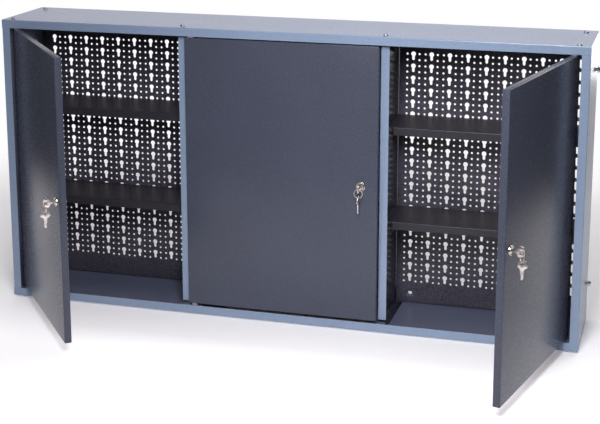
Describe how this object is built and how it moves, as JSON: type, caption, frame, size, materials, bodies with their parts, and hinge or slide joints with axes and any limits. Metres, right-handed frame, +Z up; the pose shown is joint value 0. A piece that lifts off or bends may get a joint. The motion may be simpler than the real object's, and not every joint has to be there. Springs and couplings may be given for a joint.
{
  "type": "hanging wall cabinet",
  "caption": "Wide shallow steel wall cabinet with hinged lockable doors, shelves and perforated back panels for tool hooks.",
  "frame": {"origin": "centre of the wall fixing holes, on the wall plane, at mid width and mid height", "axes": "+X to the cabinet's right as seen from the front, +Z up, doors face -Y, wall at Y = 0"},
  "size_m": [1.2, 0.5369, 0.6],
  "materials": {
    "carcass_steel": "fine-textured powder coat, light grey-blue",
    "back_panel_steel": "fine-textured powder coat, anthracite",
    "shelf_steel": "fine-textured powder coat, anthracite",
    "door_steel": "semi-gloss powder coat, anthracite",
    "white_nylon": "plain moulded",
    "key_nickel": "nickel plated, lightly worn",
    "lock_nickel": "nickel plated",
    "clip_zinc": "zinc plated"
  },
  "bodies": {
    "carcass": {"top_panel": "carcass_steel", "bottom_panel": "carcass_steel", "left_side_panel": "carcass_steel", "right_side_panel": "carcass_steel", "left_divider": "carcass_steel", "right_divider": "carcass_steel", "left_back_panel": "back_panel_steel", "middle_back_panel": "back_panel_steel", "right_back_panel": "back_panel_steel", "left_lower_shelf": "shelf_steel", "left_upper_shelf": "shelf_steel", "left_shelf_clips": "clip_zinc", "left_pivot_plates": "carcass_steel", "middle_lower_shelf": "shelf_steel", "middle_upper_shelf": "shelf_steel", "middle_shelf_clips": "clip_zinc", "middle_pivot_plates": "carcass_steel", "right_lower_shelf": "shelf_steel", "right_upper_shelf": "shelf_steel", "right_shelf_clips": "clip_zinc", "right_pivot_plates": "carcass_steel", "divider_foot_plates": "carcass_steel"},
    "left_door": {"left_door": "door_steel", "left_door_bushes": "white_nylon", "left_lock_housing": "lock_nickel"},
    "left_lock": {"left_lock_plug": "lock_nickel", "left_lock_cam": "lock_nickel"},
    "left_key": {"left_key": "key_nickel"},
    "left_ring": {"left_key_ring": "key_nickel"},
    "left_spare": {"left_spare_key": "key_nickel"},
    "middle_door": {"middle_door": "door_steel", "middle_door_bushes": "white_nylon", "middle_lock_housing": "lock_nickel"},
    "middle_lock": {"middle_lock_plug": "lock_nickel", "middle_lock_cam": "lock_nickel"},
    "middle_key": {"middle_key": "key_nickel"},
    "middle_ring": {"middle_key_ring": "key_nickel"},
    "middle_spare": {"middle_spare_key": "key_nickel"},
    "right_door": {"right_door": "door_steel", "right_door_bushes": "white_nylon", "right_lock_housing": "lock_nickel"},
    "right_lock": {"right_lock_plug": "lock_nickel", "right_lock_cam": "lock_nickel"},
    "right_key": {"right_key": "key_nickel"},
    "right_ring": {"right_key_ring": "key_nickel"},
    "right_spare": {"right_spare_key": "key_nickel"}
  },
  "joints": [
    {"name": "left_door_hinge", "type": "hinge", "parent": "carcass", "child": "left_door", "pos_m": [-0.5695, -0.183, 0], "axis": [0, 0, -1], "range_deg": [-51.4, 58.6]},
    {"name": "left_lock_turn", "type": "hinge", "parent": "left_door", "child": "left_lock", "pos_m": [-0.36503, -0.45035, 0], "axis": [-0.7815, -0.6239, 0], "range_deg": [0, 90]},
    {"name": "left_key_pull", "type": "slide", "parent": "left_lock", "child": "left_key", "axis": [-0.7815, -0.6239, 0], "range_m": [0, 0.02]},
    {"name": "left_ring_swing", "type": "hinge", "parent": "left_key", "child": "left_ring", "pos_m": [-0.38223, -0.46407, 0], "axis": [-0.6239, 0.7815, 0], "range_deg": [-10, 30]},
    {"name": "left_spare_swing", "type": "hinge", "parent": "left_ring", "child": "left_spare", "pos_m": [-0.38223, -0.46407, -0.01878], "axis": [-0.6239, 0.7815, 0], "range_deg": [-12, 25]},
    {"name": "middle_door_hinge", "type": "hinge", "parent": "carcass", "child": "middle_door", "pos_m": [-0.187, -0.183, 0], "axis": [0, 0, -1], "range_deg": [0, 110]},
    {"name": "middle_lock_turn", "type": "hinge", "parent": "middle_door", "child": "middle_lock", "pos_m": [0.166, -0.19, 0], "axis": [0, -1, 0], "range_deg": [0, 90]},
    {"name": "middle_key_pull", "type": "slide", "parent": "middle_lock", "child": "middle_key", "axis": [0, -1, 0], "range_m": [0, 0.02]},
    {"name": "middle_ring_swing", "type": "hinge", "parent": "middle_key", "child": "middle_ring", "pos_m": [0.166, -0.212, 0], "axis": [-1, 0, 0], "range_deg": [-10, 30]},
    {"name": "middle_spare_swing", "type": "hinge", "parent": "middle_ring", "child": "middle_spare", "pos_m": [0.166, -0.212, -0.01878], "axis": [-1, 0, 0], "range_deg": [-12, 25]},
    {"name": "right_door_hinge", "type": "hinge", "parent": "carcass", "child": "right_door", "pos_m": [0.5695, -0.183, 0], "axis": [0, 0, 1], "range_deg": [-77.3, 32.7]},
    {"name": "right_lock_turn", "type": "hinge", "parent": "right_door", "child": "right_lock", "pos_m": [0.50235, -0.51281, 0], "axis": [-0.9755, 0.2198, 0], "range_deg": [0, 90]},
    {"name": "right_key_pull", "type": "slide", "parent": "right_lock", "child": "right_key", "axis": [0.9755, -0.2198, 0], "range_m": [0, 0.02]},
    {"name": "right_ring_swing", "type": "hinge", "parent": "right_key", "child": "right_ring", "pos_m": [0.52381, -0.51764, 0], "axis": [-0.2198, -0.9755, 0], "range_deg": [-10, 30]},
    {"name": "right_spare_swing", "type": "hinge", "parent": "right_ring", "child": "right_spare", "pos_m": [0.52381, -0.51764, -0.01878], "axis": [-0.2198, -0.9755, 0], "range_deg": [-12, 25]}
  ]
}
